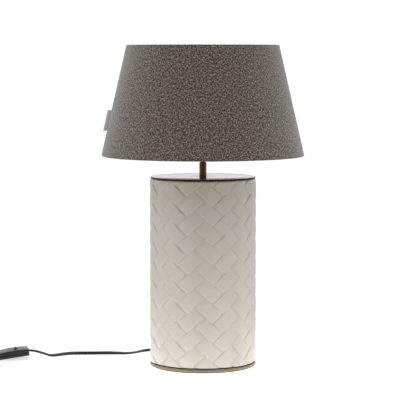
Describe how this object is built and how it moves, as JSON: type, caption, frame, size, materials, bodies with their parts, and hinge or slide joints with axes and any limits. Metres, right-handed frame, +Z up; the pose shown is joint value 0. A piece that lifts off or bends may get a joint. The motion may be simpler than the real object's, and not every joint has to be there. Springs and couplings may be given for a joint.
{
  "type": "table lamp",
  "caption": "Table lamp: glazed ceramic cylinder between bronze plates, tapered tweed shade, opal bulb, flat cord with rocker switch and plug.",
  "frame": {"origin": "middle of the underside, on the surface the lamp stands on", "axes": "+Z up along the lamp's axis, +Y towards the back, where the cord leaves the body, +X to the right seen from the front"},
  "size_m": [0.5645, 0.3, 0.4756],
  "materials": {
    "glaze": "satin glaze over a herringbone relief",
    "bronze": "satin dark bronze",
    "polished_metal": "mirror polished",
    "zinc": "zinc plated",
    "brass": "plain",
    "felt": "felt",
    "rubber": "matt",
    "black_plastic": "fine texture",
    "black_cord": "soft sheathing",
    "porcelain": "unglazed",
    "tweed": "coarse mottled weave",
    "lining": "laminated white lining",
    "white_wire": "white powder coat",
    "opal": "opal",
    "ribbon": "woven ribbon",
    "core_blue": "insulation",
    "core_brown": "insulation"
  },
  "bodies": {
    "base": {"felt_pad": "felt", "foot_plate": "bronze", "foot_gasket": "rubber", "foot_nut": "zinc", "foot_washer": "zinc", "ceramic_body": "glaze", "top_plate": "polished_metal", "stem_tube": "bronze", "threaded_rod": "zinc", "lock_nut": "zinc", "lampholder_cap": "black_plastic", "lampholder_skirt": "black_plastic", "lampholder_insert": "porcelain", "lampholder_screw_shell": "brass", "lampholder_contact": "brass", "terminal_left": "brass", "terminal_right": "brass", "cord_gland": "black_cord", "gland_nut": "black_plastic", "inner_cord": "black_cord", "core_blue": "core_blue", "core_brown": "core_brown", "cord_lead": "black_cord", "cord_tail": "black_cord", "cord_coil": "black_cord", "coil_tie": "black_plastic", "cord_end": "black_cord", "plug_body": "black_cord", "plug_pin_1": "zinc", "plug_pin_2": "zinc", "switch_lower_housing": "black_plastic", "switch_upper_housing": "black_plastic", "switch_pivot_pin": "zinc", "switch_screw_1": "zinc", "switch_screw_2": "zinc"},
    "shade": {"shade_fabric": "tweed", "shade_lining": "lining", "shade_bottom_ring": "white_wire", "shade_top_ring": "white_wire", "shade_fitter_ring": "white_wire", "shade_arm_1": "white_wire", "shade_arm_2": "white_wire", "shade_arm_3": "white_wire", "shade_label": "ribbon"},
    "clamp_ring": {"shade_clamp_ring": "black_plastic"},
    "bulb": {"bulb_foot_contact": "brass", "bulb_cap": "zinc", "bulb_collar": "opal", "bulb_globe": "opal"},
    "rocker": {"switch_rocker": "black_plastic"}
  },
  "joints": [
    {"name": "rocker_tilt", "type": "hinge", "parent": "base", "child": "rocker", "pos_m": [-0.28959, 0.0571, 0.01154], "axis": [-0.1822, 0.9833, 0], "range_deg": [0, 28]},
    {"name": "shade_turn", "type": "hinge", "parent": "base", "child": "shade", "pos_m": [0, 0, 0.333], "axis": [0, 0, 1], "continuous": true},
    {"name": "clamp_ring_turn", "type": "hinge", "parent": "base", "child": "clamp_ring", "pos_m": [0, 0, 0.337], "axis": [0, 0, 1], "continuous": true},
    {"name": "bulb_lift", "type": "slide", "parent": "base", "child": "bulb", "axis": [0, 0, 1], "range_m": [0, 0.16]}
  ]
}
